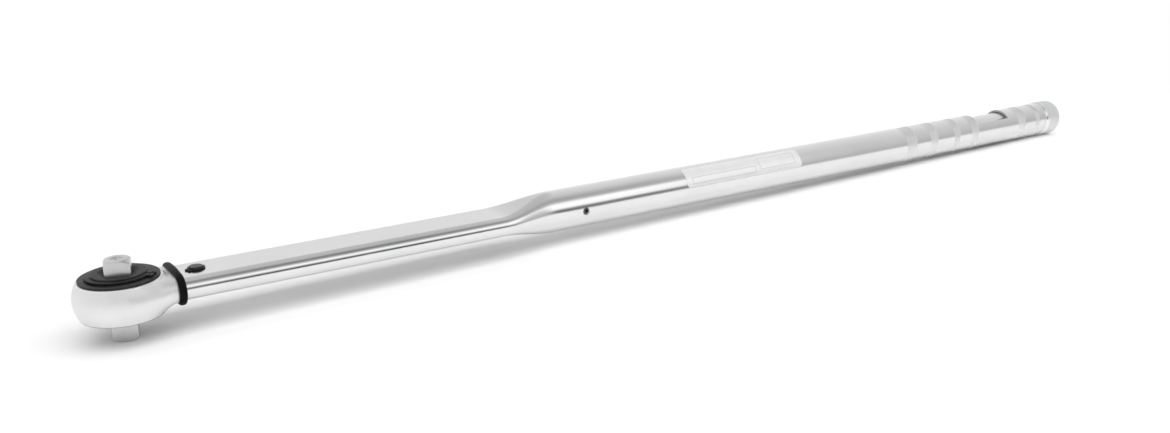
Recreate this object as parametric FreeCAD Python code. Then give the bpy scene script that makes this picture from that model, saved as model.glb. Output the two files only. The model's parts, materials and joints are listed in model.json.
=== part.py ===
import FreeCAD, Part
import math
import os

# Torque wrench with a push-through square drive, set by a key at the end of its handle.
# Millimetres. X runs from the drive axis to the handle end, Z along the drive axis, and the
# origin is on the drive axis at the height of the tube's axis.

V = FreeCAD.Vector

# ---- driving dimensions -------------------------------------------------------------------
square_size = 19.05          # three-quarter-inch drive
square_corner_r = 13.2       # its corners are turned to this radius
square_top = 28.3
square_bottom = -36.0
square_yaw = -14.5           # how the drive stands turned in the head, in degrees
square_end_r = 8.8           # flat left on each turned end
square_cone = 2.8            # length of the turned cone
recess_r = 5.6               # shallow turned recess in each end, with a centre hole
recess_depth = 0.8
centre_hole_r = 2.6
push_travel = 13.0           # the square pushes this far either way
hole_clearance = 0.1         # between the square and each side of its hole
ball_r = 2.5                 # the sprung balls that hold a socket
ball_proud = 0.9
ball_from_end = 9.3
ball_direction = square_yaw + 90
lock_ball_r = 2.0            # the ball that holds the square in its hole
lock_z = -12.6
lock_direction = square_yaw + 180
lock_hole_r = 2.05

tube_r = 19.5                # round tube, outside
tube_wall = 2.5
flat_half_height = 8.85      # pressed front of the tube
neck_x = 39.5                # front end of the tube
press_start = 321.0          # the pressed front ends and the tube swells to round
press_end = 381.0
tube_end = 1086.0
wrench_end = 1113.8

head_top = 12.8
head_bottom = -16.2
head_r = 35.2                # the barrel's widest radius
head_top_r = 31.6
head_bottom_r = 31.4
head_belly_z = -1.6
rim = 0.8

cover_r = 29.8
cover_top = 14.5
cover_bore = 20.45
seal_r = (26.6, 28.2)
seal_depth = 1.0

teeth = 36
gear_r = 24.0
gear_root_r = 22.3
gear_half = 9.0
hub_r = 20.4
hub_top = 17.6
dish_rim_r = 15.6            # the hub's top is dished round the square, from this radius
dish_floor = (9.0, 14.9)     # radius and height of the dish's floor
journal_r = 18.0
running = 0.05               # radial clearance of a running fit

pawl_teeth = (-28.0, 2.0)    # angle of the tooth face that each pawl stands against
pawl_half = 6.0
pawl_pivot = (27.6, 9.5)     # radial and tangential place of its pin, from that face
pawl_pin_r = 1.4
pawl_pin_half = 9.0
pawl_gap = 1.0               # from the tooth face, so that the tip can lift past it
pocket_r = 32.4
clip_groove = (cover_top + 0.6, cover_top + 2.0)
clip_gap = -34.0             # angle of the circlip's gap

pivot_x = 57.0
pivot_r = 5.5
bush_r = 7.5
neck_ring_ends = (36.8, 42.6)
neck_ring_half = (12.6, 16.2)    # half height, and half the width of its flats
neck_ring_crown = 1.4            # how far its flats bulge
neck_ring_bore = (10.4, 15.8)    # the same, where it goes round the head's neck
neck_ring_fillet = 2.4
lever_half_height = 6.1
lever_half_width = 17.5
lever_taper_x = 330.0
lever_taper_half_width = 11.0
tail_half_width = 9.0
tail_x = 416.0
toggle_front_x = 415.0
toggle_rear_x = 430.0
toggle_r = 2.5
toggle_half_height = 5.5

plunger_front = 429.0
plunger_back = 480.0
seat_back = 486.0
disc_count = 40
disc_thickness = 2.0
disc_cone = 0.75
disc_r = 15.75
disc_bore = 8.2
rod_end = 640.0

nut_front = 928.0
nut_back = 950.0
sleeve_r = 16.5
sleeve_bore = 15.2
sleeve_front = 930.0
sleeve_back = 1054.0
thread_r = 8.0
thread_pitch = 4.0
spindle_front = 900.0
collar_front = 1051.0
collar_back = 1056.0
collar_r = 11.0
journal = 6.0                # radius of the spindle where it turns in the plug
plug_front = 1061.0
plug_back = 1080.0
socket_width = 8.0           # across the flats of the setting key

window_start = 963.5
window_end = 1018.0
window_floor = 12.4
grip_bands = ((840.7, 857.1), (879.4, 892.0), (919.4, 929.8), (950.0, 962.5),
              (1035.0, 1048.3), (1067.5, 1075.2))
band_depth = 0.4
end_ring_back = 1092.6
cap_r = 20.2
key_hole_r = 6.5
stop_screw_x = 409.6
stop_screw_r = 3.0
guide_pin_x = 1028.0
guide_pin_r = 2.5
label_ends = (529.0, 680.0)
label_angles = (10.0, 74.0)  # up from the near side, in degrees

# ---- worked out from them -----------------------------------------------------------------
bore_r = tube_r - tube_wall
disc_height = disc_thickness + disc_cone
springs_back = seat_back + disc_count * disc_height
tooth_pitch = 360.0 / teeth
square_half = square_size / 2
hole_half = square_half + hole_clearance
ball_heights = {"upper": square_top - ball_from_end, "lower": square_bottom + ball_from_end}
LAST_FLAT = 0.01             # the round tube keeps this sliver of flat, as the pressed one has


# ---- small helpers ------------------------------------------------------------------------
def cylinder_z(radius, z0, z1, x=0.0, y=0.0):
    return Part.makeCylinder(radius, z1 - z0, V(x, y, z0), V(0, 0, 1))


def cylinder_x(radius, x0, x1, y=0.0, z=0.0):
    return Part.makeCylinder(radius, x1 - x0, V(x0, y, z), V(1, 0, 0))


def ring_z(outer, inner, z0, z1):
    return cylinder_z(outer, z0, z1).cut(cylinder_z(inner, z0 - 1, z1 + 1))


def ring_x(outer, inner, x0, x1):
    return cylinder_x(outer, x0, x1).cut(cylinder_x(inner, x0 - 1, x1 + 1))


def box(x0, x1, y0, y1, z0, z1):
    return Part.makeBox(x1 - x0, y1 - y0, z1 - z0, V(x0, y0, z0))


def polygon_prism(points, z0, z1):
    """A flat outline of (x, y) points, as thick as z0 to z1."""
    corners = [V(x, y, z0) for x, y in points]
    face = Part.Face(Part.makePolygon(corners + corners[:1]))
    return face.extrude(V(0, 0, z1 - z0))


def revolved(points, axis):
    """A solid of revolution from (radius, height) points, about the Z or X axis."""
    if axis == "z":
        corners = [V(r, 0, h) for r, h in points]
        line = V(0, 0, 1)
    else:
        corners = [V(h, 0, r) for r, h in points]
        line = V(1, 0, 0)
    face = Part.Face(Part.makePolygon(corners + corners[:1]))
    return face.revolve(V(0, 0, 0), line, 360)


def polar(radius, degrees):
    a = math.radians(degrees)
    return radius * math.cos(a), radius * math.sin(a)


def turned(shape, degrees):
    out = shape.copy()
    out.rotate(V(0, 0, 0), V(0, 0, 1), degrees)
    return out


def from_tooth(angle, r, t):
    """The (x, y) of a point r outwards and t round from the tooth face at this angle."""
    a = math.radians(angle)
    return r * math.cos(a) - t * math.sin(a), r * math.sin(a) + t * math.cos(a)


def stadium(x, half_height, half_flat, z=0.0):
    """A long hole's outline in the plane at x: two flats joined by two half circles."""
    h, r = half_flat, half_height
    top = Part.LineSegment(V(x, -h, z + r), V(x, h, z + r)).toShape()
    far = Part.Arc(V(x, h, z + r), V(x, h + r, z), V(x, h, z - r)).toShape()
    bottom = Part.LineSegment(V(x, h, z - r), V(x, -h, z - r)).toShape()
    near = Part.Arc(V(x, -h, z - r), V(x, -h - r, z), V(x, -h, z + r)).toShape()
    return Part.Wire([top, far, bottom, near])


def crowned_stadium(x, half_height, half_flat, crown):
    """The same with bulging flats, which run on smoothly into the ends."""
    drop = (half_flat ** 2 - crown ** 2) / (2 * crown)
    slant = math.hypot(half_flat, drop)
    y, z = half_flat + half_height * half_flat / slant, half_height * drop / slant
    peak, reach = half_height + crown, half_flat + half_height
    top = Part.Arc(V(x, -y, z), V(x, 0, peak), V(x, y, z)).toShape()
    far = Part.Arc(V(x, y, z), V(x, reach, 0), V(x, y, -z)).toShape()
    bottom = Part.Arc(V(x, y, -z), V(x, 0, -peak), V(x, -y, -z)).toShape()
    near = Part.Arc(V(x, -y, -z), V(x, -reach, 0), V(x, -y, z)).toShape()
    return Part.Wire([top, far, bottom, near])


def stadium_bar(x0, x1, half_height, half_flat):
    return Part.Face(stadium(x0, half_height, half_flat)).extrude(V(x1 - x0, 0, 0))


def coil(radius, wire_r, pitch, height):
    """A compression spring round Z, standing on the origin."""
    path = Part.makeHelix(pitch, height, radius)
    section = Part.Wire(Part.makeCircle(wire_r, V(radius, 0, 0), V(0, 1, 0)))
    return Part.Wire(path).makePipeShell([section], True, True)


def placed(shape, origin, z_direction):
    """A shape made round Z, moved so that its Z axis starts at origin and points that way."""
    out = shape.copy()
    turn = FreeCAD.Rotation(V(0, 0, 1), z_direction)
    out.Placement = FreeCAD.Placement(origin, turn)
    return out


# ---- the tube -----------------------------------------------------------------------------
def flat_half(half_height, full_r):
    """Pressing a round tube keeps its girth, so the flats take what the height gives up."""
    return (full_r - half_height) * math.pi / 2


def tube_form(x0, x1, shrink):
    """The tube's outside, or with shrink its bore: pressed flat, swelling, then round."""
    def outline(x):
        t = min(max((x - press_start) / (press_end - press_start), 0.0), 1.0)
        swell = t * t * (3 - 2 * t)
        last = tube_r - LAST_FLAT * 2 / math.pi
        height = flat_half_height + swell * (last - flat_half_height)
        return stadium(x, height - shrink, flat_half(height, tube_r))

    stations = [press_start + (press_end - press_start) * k / 12 for k in range(13)]
    swelling = Part.makeLoft([outline(x) for x in stations], True, False)
    front = Part.Face(outline(x0)).extrude(V(press_start - x0, 0, 0))
    back = Part.Face(outline(press_end)).extrude(V(x1 - press_end, 0, 0))
    return front.fuse(swelling).fuse(back)


def housing_tube():
    body = tube_form(neck_x, tube_end, 0.0)
    body = body.cut(tube_form(neck_x - 1, tube_end + 1, tube_wall))
    body = body.cut(cylinder_z(pivot_r, -30, 30, pivot_x))
    body = body.cut(box(window_start, window_end, -tube_r, tube_r, window_floor, 25))
    for start, end in grip_bands:
        body = body.cut(ring_x(tube_r + 2, tube_r - band_depth, start, end))
    stop_hole = Part.makeCylinder(stop_screw_r, 12, V(stop_screw_x, -25, 0), V(0, 1, 0))
    pin_hole = Part.makeCylinder(guide_pin_r, 12, V(guide_pin_x, 0, -25), V(0, 0, 1))
    ring_groove = ring_x(bore_r + 0.9, bore_r - 2, plug_back, plug_back + 1.6)
    for tool in (stop_hole, pin_hole, ring_groove):
        body = body.cut(tool)
    return body.removeSplitter()


def neck_ring():
    """The rubber ring that closes the joint between the head's neck and the tube."""
    start, end = neck_ring_ends
    outline = crowned_stadium(start, *neck_ring_half, neck_ring_crown)
    outer = Part.Face(outline).extrude(V(end - start, 0, 0))
    rims = [e for e in outer.Edges if e.BoundBox.XLength < 0.1]
    rounded = outer.makeFillet(neck_ring_fillet, rims)
    tube_front = stadium_bar(neck_x, end + 1, flat_half_height, flat_half(flat_half_height, tube_r))
    return rounded.cut(tube_front).cut(stadium_bar(start - 1, neck_x, *neck_ring_bore))


def pivot_pin():
    reach = flat_half_height + 2.4
    points = [(0, -reach), (pivot_r - 0.5, -reach), (pivot_r, -reach + 0.5)]
    points += [(pivot_r, reach - 0.8), (pivot_r - 0.8, reach), (0, reach)]
    pin = revolved(points, "z")
    groove = ring_z(pivot_r + 1, pivot_r - 0.5, flat_half_height + 0.1, flat_half_height + 1.2)
    pin = pin.cut(groove).cut(groove.mirror(V(0, 0, 0), V(0, 0, 1)))
    pin.translate(V(pivot_x, 0, 0))
    return pin


def circlip(bore, outer, offset, z0, z1, gap_angle, lug_r, lug_at):
    """An outside circlip: wider across from its gap, with a holed lug at each end."""
    dx, dy = polar(offset, gap_angle + 180)
    body = cylinder_z(outer, z0, z1, dx, dy)
    reach = math.degrees(lug_r * 1.15 / lug_at)
    for side in (-1, 1):
        x, y = polar(lug_at, gap_angle + side * reach)
        body = body.fuse(cylinder_z(lug_r, z0, z1, x, y))
    body = body.cut(cylinder_z(bore, z0 - 1, z1 + 1))
    half_gap = lug_r * 0.3
    slot = box(0, lug_at + lug_r + 1, -half_gap, half_gap, z0 - 1, z1 + 1)
    body = body.cut(turned(slot, gap_angle))
    for side in (-1, 1):
        x, y = polar(lug_at, gap_angle + side * reach)
        body = body.cut(cylinder_z(lug_r * 0.4, z0 - 1, z1 + 1, x, y))
    return body


def pivot_circlips():
    low, high = flat_half_height + 0.15, flat_half_height + 1.15
    top = circlip(pivot_r - 0.45, pivot_r + 1.4, 0.2, low, high, -156, 1.5, pivot_r + 2.1)
    top.translate(V(pivot_x, 0, 0))
    return [top, top.mirror(V(0, 0, 0), V(0, 0, 1))]


def stop_screw():
    """The socket screw that the lever's tail rests against."""
    along = (tail_x - stop_screw_x) / (tail_x - lever_taper_x)
    lever_side = tail_half_width + along * (lever_taper_half_width - tail_half_width)
    start, end = -tube_r + 0.8, -lever_side - 0.15
    screw = Part.makeCylinder(stop_screw_r, end - start, V(stop_screw_x, start, 0), V(0, 1, 0))
    corners = [polar(1.75, 60 * k) for k in range(6)]
    socket = polygon_prism(corners, 0, 3)
    return screw.cut(placed(socket, V(stop_screw_x, start - 0.1, 0), V(0, 1, 0)))


def label_foil():
    start, end = label_ends
    # It lies a hair off the tube, whose last sliver of flat isn't quite round.
    shell = ring_x(tube_r + 0.15, tube_r + 0.01, start, end)
    low, high = (math.radians(a) for a in label_angles)
    reach = tube_r * 3
    wedge = [V(start, 0, 0), V(start, -reach * math.cos(low), reach * math.sin(low)),
             V(start, -reach * math.cos(high), reach * math.sin(high))]
    keep = Part.Face(Part.makePolygon(wedge + wedge[:1])).extrude(V(end - start, 0, 0))
    return shell.common(keep)


def guide_pin():
    """Keeps the scale sleeve from turning with the spindle."""
    return cylinder_z(guide_pin_r, -tube_r + 0.15, -sleeve_bore - 0.2, guide_pin_x)


# ---- the head -----------------------------------------------------------------------------
def barrel():
    low, belly, high = head_bottom + rim, head_belly_z, head_top - rim
    foot, shoulder = V(head_bottom_r, 0, low), V(head_top_r, 0, high)
    side = Part.Arc(foot, V(head_r, 0, belly), shoulder).toShape()
    corners = [shoulder, V(head_top_r - rim, 0, head_top), V(0, 0, head_top),
               V(0, 0, head_bottom), V(head_bottom_r - rim, 0, head_bottom), foot]
    face = Part.Face(Part.Wire([side] + list(Part.makePolygon(corners).Edges)))
    return face.revolve(V(0, 0, 0), V(0, 0, 1), 360)


def neck():
    """From the barrel's tangent, narrowing and thinning to the tube's own outline."""
    # Each station is x, half height, half width and the height of its centre.
    stations = ((9.6, 14.1, 33.7, -1.7), (16.0, 14.0, 31.9, -1.7), (22.0, 13.6, 30.0, -1.6),
                (27.5, 12.4, 28.2, -1.1), (32.0, 10.7, 26.8, -0.4), (neck_x - 1.4, 9.7, 25.5, 0.0))
    outlines = [stadium(x, h, w - h, z) for x, h, w, z in stations]
    return Part.makeLoft(outlines, True, False)


def notch(x, direction):
    """A round-bottomed notch that widens towards the mouth, for an end of the toggle."""
    seat = toggle_r + 0.3
    tall = lever_half_height + 12
    flare = polygon_prism([(x, -seat), (x + direction * 6, -seat - 3),
                           (x + direction * 6, seat + 3), (x, seat)], -tall, tall)
    return cylinder_z(seat, -tall, tall, x).fuse(flare)


def head_lever():
    half = [(20, lever_half_width), (72, lever_half_width), (104, 13.5),
            (lever_taper_x, lever_taper_half_width), (tail_x, tail_half_width)]
    outline = half + [(x, -y) for x, y in reversed(half)]
    bar = polygon_prism(outline, -lever_half_height, lever_half_height)
    body = barrel().fuse(neck()).fuse(bar)
    body = body.cut(cylinder_z(gear_r + 0.3, -gear_half - 0.3, head_top + 1))
    body = body.cut(cylinder_z(journal_r + running, head_bottom - 1, 0))
    body = body.cut(pawl_pocket())
    body = body.cut(ring_z(seal_r[1], seal_r[0], head_top - seal_depth, head_top + 1))
    body = body.cut(cylinder_z(bush_r, -20, 20, pivot_x))
    body = body.cut(notch(toggle_front_x, 1))
    for angle in pawl_teeth:
        x, y = from_tooth(angle, *pawl_pivot)
        body = body.cut(cylinder_z(pawl_pin_r, -pawl_pin_half, pawl_pin_half, x, y))
    return body.removeSplitter()


def pawl_pocket():
    low, high = pawl_teeth[0] - 3.0, pawl_teeth[1] + 26.5
    steps = 8
    arc = [polar(pocket_r + 0.1, low + (high - low) * k / steps) for k in range(steps + 1)]
    wedge = polygon_prism([(0, 0)] + arc, -pawl_half - 0.4, pawl_half + 0.4)
    return wedge.cut(cylinder_z(20, -20, 20))


def pivot_bush():
    bush = ring_z(bush_r, pivot_r + running, -lever_half_height, lever_half_height)
    bush.translate(V(pivot_x, 0, 0))
    return bush


def cover_plate():
    points = [(cover_bore, head_top), (cover_r, head_top), (cover_r, cover_top - 0.4),
              (cover_r - 0.4, cover_top), (cover_bore, cover_top)]
    return revolved(points, "z")


def cover_seal():
    return ring_z(seal_r[1], seal_r[0], head_top - seal_depth, head_top)


def pawl_pins():
    pins = []
    for angle in pawl_teeth:
        x, y = from_tooth(angle, *pawl_pivot)
        pins.append(cylinder_z(pawl_pin_r, -pawl_pin_half, pawl_pin_half, x, y))
    return pins


def pawl(angle):
    r, t = pawl_pivot
    local = [(gear_root_r + 0.35, pawl_gap), (25.4, pawl_gap), (28.9, 5.0), (30.2, 9.0),
             (25.2, 9.0), (24.6, 4.2)]
    blade = polygon_prism([from_tooth(angle, *p) for p in local], -pawl_half, pawl_half)
    x, y = from_tooth(angle, r, t)
    body = blade.fuse(cylinder_z(2.8, -pawl_half, pawl_half, x, y))
    return body.cut(cylinder_z(pawl_pin_r + running, -20, 20, x, y)).removeSplitter()


def pawl_spring(angle):
    """A bent strip between the pocket's wall and the pawl's back."""
    local = [(31.3, 6.0), (31.9, -0.4), (27.75, 2.5), (27.45, 2.2), (32.25, -0.9), (31.7, 6.0)]
    return polygon_prism([from_tooth(angle, *p) for p in local], -2.5, 2.5)


# ---- the ratchet and the square -----------------------------------------------------------
def square_prism(half, z0, z1):
    return turned(box(-half, half, -half, half, z0, z1), square_yaw)


def ratchet_gear():
    outline = []
    for k in range(teeth):
        angle = pawl_teeth[1] + k * tooth_pitch
        outline.append(polar(gear_r, angle))
        outline.append(polar(gear_root_r, angle + 0.3))
    ring = polygon_prism(outline, -gear_half, gear_half)
    low, shoulder_r, shoulder = head_bottom - 0.4, 22.0, head_top - 0.3
    hub = revolved([(0, low), (journal_r - 0.5, low), (journal_r, low + 0.5),
                    (journal_r, -gear_half), (shoulder_r, -gear_half), (shoulder_r, shoulder),
                    (hub_r, shoulder), (hub_r, hub_top - 0.6), (hub_r - 0.6, hub_top),
                    (dish_rim_r, hub_top), dish_floor, (0, dish_floor[1])], "z")
    body = ring.fuse(hub).cut(ring_z(hub_r + 1, hub_r - 1.2, *clip_groove))
    corners = cylinder_z(square_corner_r + 0.3, -30, 30)
    body = body.cut(square_prism(hole_half, -30, 30).common(corners))
    track = box(-2.9, 2.9, 0, hole_half + 1.1, -30, 30)
    body = body.cut(turned(track, square_yaw))
    return body.cut(lock_hole()).removeSplitter()


def along_lock(distance):
    x, y = polar(distance, lock_direction)
    return V(x, y, lock_z)


def lock_hole():
    return Part.makeCylinder(lock_hole_r, 12, along_lock(8), along_lock(1) - along_lock(0))


def lock_ball():
    return Part.makeSphere(lock_ball_r, along_lock(hole_half + lock_ball_r))


def lock_spring():
    return placed(coil(1.3, 0.25, 0.75, 2.1), along_lock(13.9), along_lock(1) - along_lock(0))


def lock_plug():
    plug = Part.makeCylinder(lock_hole_r, 3, along_lock(16.3), along_lock(1) - along_lock(0))
    return plug.common(cylinder_z(journal_r - 0.1, -20, 0))


def gear_circlip():
    low, high = clip_groove
    return circlip(hub_r - 1.1, 24.2, 0.8, low + 0.05, high - 0.05, clip_gap, 2.6, 25.3)


def shim_washer():
    return ring_z(22.6, hub_r + running, cover_top + 0.02, cover_top + 0.6)


def along_ball(distance, z):
    x, y = polar(distance, ball_direction)
    return V(x, y, z)


def drive_square():
    body = square_prism(square_half, square_bottom, square_top)
    turned_form = revolved([(0, square_bottom), (square_end_r, square_bottom),
                            (square_corner_r, square_bottom + square_cone),
                            (square_corner_r, square_top - square_cone),
                            (square_end_r, square_top), (0, square_top)], "z")
    body = body.common(turned_form)
    for end, way in ((square_top, -1), (square_bottom, 1)):
        recess = Part.makeCone(recess_r, recess_r - recess_depth, recess_depth, V(0, 0, end), V(0, 0, way))
        floor = V(0, 0, end + way * recess_depth)
        centre_hole = Part.makeCone(centre_hole_r, centre_hole_r - 2, 2.0, floor, V(0, 0, way))
        body = body.cut(recess).cut(centre_hole)
    outwards = along_ball(1, 0) - along_ball(0, 0)
    for z in ball_heights.values():
        body = body.cut(Part.makeCylinder(ball_r + running, 10, along_ball(2.0, z), outwards))
    centre = along_lock(square_half + 1.4)
    for place in (-push_travel, 0.0, push_travel):
        body = body.cut(Part.makeSphere(lock_ball_r, V(centre.x, centre.y, lock_z - place)))
    return body


def socket_ball(which):
    z = ball_heights[which]
    return Part.makeSphere(ball_r, along_ball(square_half + ball_proud - ball_r, z))


def ball_spring(which):
    z = ball_heights[which]
    spring = coil(1.7, 0.3, 0.9, 2.5)
    return placed(spring, along_ball(2.4, z), along_ball(1, 0) - along_ball(0, 0))


# ---- the trip and the springs -------------------------------------------------------------
def toggle():
    """The block that stands between lever and plunger, and tips over at the set torque."""
    height = toggle_half_height
    ends = [cylinder_z(toggle_r, -height, height, x) for x in (toggle_front_x, toggle_rear_x)]
    web = box(toggle_front_x, toggle_rear_x, -toggle_r, toggle_r, -height, height)
    return web.fuse(ends[0]).fuse(ends[1]).removeSplitter()


def plunger():
    land_r, waist_r = bore_r - 0.1, bore_r - 1.5
    body = revolved([(0, plunger_front), (land_r - 1, plunger_front), (land_r, plunger_front + 1),
                     (land_r, plunger_front + 14), (waist_r, plunger_front + 16),
                     (waist_r, plunger_back - 16), (land_r, plunger_back - 14),
                     (land_r, plunger_back), (0, plunger_back)], "x")
    depth = toggle_half_height + 0.5
    mouth = box(plunger_front - 9, plunger_back, -9, 9, -depth, depth)
    body = body.cut(notch(toggle_rear_x, -1).common(mouth))
    return body.cut(cylinder_x(disc_bore - 0.2, plunger_back - 10, plunger_back + 1))


def spring_seat():
    return ring_x(bore_r - 0.6, disc_bore, plunger_back, seat_back)


def guide_rod():
    rod = cylinder_x(disc_bore - 0.2, plunger_back - 10, rod_end)
    tip = [e for e in rod.Edges if e.BoundBox.XMin > rod_end - 0.1]
    return rod.makeChamfer(1.0, tip)


def disc_springs():
    """Coned washers threaded on the rod, each facing the other way from the one before."""
    discs = []
    for k in range(disc_count):
        x = seat_back + k * disc_height
        inner, outer = (x, x + disc_cone) if k % 2 else (x + disc_cone, x)
        points = [(disc_bore, inner), (disc_r, outer), (disc_r, outer + disc_thickness),
                  (disc_bore, inner + disc_thickness)]
        discs.append(revolved(points, "x"))
    return discs


def pressure_tube():
    return ring_x(15.0, 10.0, springs_back, nut_front)


# ---- the setting drive --------------------------------------------------------------------
def setting_nut():
    return ring_x(sleeve_bore, thread_r + 0.3, nut_front, nut_back)


def scale_sleeve():
    body = ring_x(sleeve_r, sleeve_bore, sleeve_front, sleeve_back)
    half = guide_pin_r + 0.3
    slot = box(guide_pin_x - half, sleeve_back + 1, -half, half, -sleeve_r - 1, 0)
    return body.cut(slot)


def setting_spindle():
    root_r = thread_r - 2
    points = [(0, spindle_front), (root_r, spindle_front)]
    x = spindle_front + 1
    while x + thread_pitch < collar_front - 4:
        points += [(thread_r, x + 0.7), (thread_r, x + 1.9), (root_r, x + 2.6), (root_r, x + 4.0)]
        x += thread_pitch
    end = plug_back + 3.4
    clip_front, clip_back = plug_back + 0.3, plug_back + 1.3
    points += [(root_r, collar_front), (collar_r, collar_front), (collar_r, collar_back)]
    points += [(journal, collar_back), (journal, clip_front), (journal - 0.6, clip_front)]
    points += [(journal - 0.6, clip_back), (journal, clip_back)]
    points += [(journal, end - 0.5), (journal - 0.5, end), (0, end)]
    body = revolved(points, "x")
    corner = socket_width / math.sqrt(3)
    socket = polygon_prism([polar(corner, 60 * k) for k in range(6)], 0, 9)
    return body.cut(placed(socket, V(end - 8, 0, 0), V(1, 0, 0)))


def spindle_circlip():
    clip = circlip(5.45, 7.6, 0.2, 0, 0.9, 90, 1.2, 8.3)
    return placed(clip, V(plug_back + 0.35, 0, 0), V(1, 0, 0))


def thrust_races():
    outer, inner = 14.5, journal + 0.3
    return [ring_x(outer, inner, collar_back, collar_back + 1.0),
            ring_x(outer, inner, plug_front - 1.0, plug_front)]


def thrust_cage():
    """A flat cage with its rollers let in, between the two races."""
    start, end = collar_back + 1.4, plug_front - 1.4
    cage = ring_x(13.6, 7.0, start, end)
    pockets = 12
    rollers = []
    for k in range(pockets):
        roller = Part.makeCylinder(0.98, 4.6, V((start + end) / 2, 0, 8.1), V(0, 0, 1))
        roller.rotate(V(0, 0, 0), V(1, 0, 0), 360.0 * k / pockets)
        cage = cage.cut(roller)
        rollers.append(roller)
    return [cage] + rollers


def bearing_plug():
    body = ring_x(bore_r - 0.02, journal + running, plug_front, plug_back)
    relief = ring_x(bore_r - 4, 9.5, plug_back - 8, plug_back + 1)
    return body.cut(relief)


def plug_ring():
    """The inside circlip that holds the bearing plug in the tube."""
    front, back = plug_back + 0.05, plug_back + 1.5
    body = ring_x(bore_r + 0.85, bore_r - 2.3, front, back)
    for side in (-1, 1):
        body = body.fuse(cylinder_x(1.8, front, back, side * 3.0, bore_r - 2.6))
    body = body.cut(box(plug_back - 1, plug_back + 3, -1.4, 1.4, 8, 20))
    for side in (-1, 1):
        body = body.cut(cylinder_x(0.8, plug_back - 1, plug_back + 3, side * 3.0, bore_r - 2.6))
    return body


def end_ring():
    ring = ring_x(cap_r + 0.2, bore_r - 0.1, tube_end, end_ring_back)
    edges = [e for e in ring.Edges if e.BoundBox.XLength < 0.01 and e.BoundBox.ZLength > 2 * cap_r]
    return ring.makeChamfer(0.5, edges)


def end_cap():
    inner, floor = bore_r - 0.1, tube_end + 1
    points = [(key_hole_r, floor), (inner - 2.9, floor), (inner - 2.9, tube_end - 2),
              (inner, tube_end - 2), (inner, end_ring_back),
              (cap_r, end_ring_back), (cap_r, wrench_end - 3.0), (cap_r - 0.9, wrench_end - 0.9),
              (cap_r - 3.0, wrench_end), (key_hole_r + 0.6, wrench_end), (key_hole_r, wrench_end - 0.6)]
    return revolved(points, "x")


# ---- every node ---------------------------------------------------------------------------
def nodes():
    made = {
        "housing_tube": housing_tube(),
        "neck_ring": neck_ring(),
        "pivot_pin": pivot_pin(),
        "pivot_circlips": pivot_circlips(),
        "stop_screw": stop_screw(),
        "label_foil": label_foil(),
        "guide_pin": guide_pin(),
        "head_lever": head_lever(),
        "pivot_bush": pivot_bush(),
        "cover_plate": cover_plate(),
        "cover_seal": cover_seal(),
        "pawl_pins": pawl_pins(),
        "ratchet_gear": ratchet_gear(),
        "gear_circlip": gear_circlip(),
        "shim_washer": shim_washer(),
        "lock_ball": lock_ball(),
        "lock_spring": lock_spring(),
        "lock_plug": lock_plug(),
        "drive_square": drive_square(),
        "trip_toggle": toggle(),
        "trip_plunger": plunger(),
        "spring_seat": spring_seat(),
        "guide_rod": guide_rod(),
        "disc_springs": disc_springs(),
        "pressure_tube": pressure_tube(),
        "setting_nut": setting_nut(),
        "scale_sleeve": scale_sleeve(),
        "setting_spindle": setting_spindle(),
        "spindle_circlip": spindle_circlip(),
        "thrust_races": thrust_races(),
        "thrust_cage": thrust_cage(),
        "bearing_plug": bearing_plug(),
        "plug_ring": plug_ring(),
        "end_ring": end_ring(),
        "end_cap": end_cap(),
    }
    for name, angle in zip(("near", "far"), pawl_teeth):
        made["pawl_" + name] = pawl(angle)
        made["pawl_spring_" + name] = pawl_spring(angle)
    for which in ball_heights:
        made["socket_ball_" + which] = socket_ball(which)
        made["ball_spring_" + which] = ball_spring(which)
    return made


def main():
    os.makedirs("parts", exist_ok=True)
    for name, made in nodes().items():
        solids = made if isinstance(made, list) else made.Solids
        whole = solids[0] if len(solids) == 1 else Part.makeCompound(solids)
        whole.exportStep(os.path.join("parts", name + ".step"))
        print(name, len(solids), "solid(s)", round(whole.Volume), "mm3", whole.isValid())


main()
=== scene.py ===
import json
import math

import bmesh
import bpy
from mathutils import Matrix, Quaternion, Vector


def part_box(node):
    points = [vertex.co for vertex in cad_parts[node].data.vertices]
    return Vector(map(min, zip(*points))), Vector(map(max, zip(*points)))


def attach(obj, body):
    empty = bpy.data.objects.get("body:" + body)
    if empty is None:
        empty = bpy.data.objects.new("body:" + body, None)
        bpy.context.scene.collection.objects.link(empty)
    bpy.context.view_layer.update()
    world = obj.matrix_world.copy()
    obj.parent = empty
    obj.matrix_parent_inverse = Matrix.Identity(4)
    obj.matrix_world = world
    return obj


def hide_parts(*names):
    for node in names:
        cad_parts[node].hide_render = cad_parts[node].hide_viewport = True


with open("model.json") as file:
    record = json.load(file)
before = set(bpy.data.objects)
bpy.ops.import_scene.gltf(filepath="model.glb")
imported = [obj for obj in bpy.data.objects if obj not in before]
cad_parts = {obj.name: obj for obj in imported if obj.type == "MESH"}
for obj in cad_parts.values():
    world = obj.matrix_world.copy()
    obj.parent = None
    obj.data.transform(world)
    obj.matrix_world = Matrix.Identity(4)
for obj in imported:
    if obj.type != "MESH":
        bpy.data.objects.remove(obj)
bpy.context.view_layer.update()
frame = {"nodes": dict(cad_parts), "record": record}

# A long torque wrench lying on its drive square and the end of its handle.
# Millimetres times MM, in the frame's own place: X along the tube, Z up the drive axis.

MM = 0.001

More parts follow.
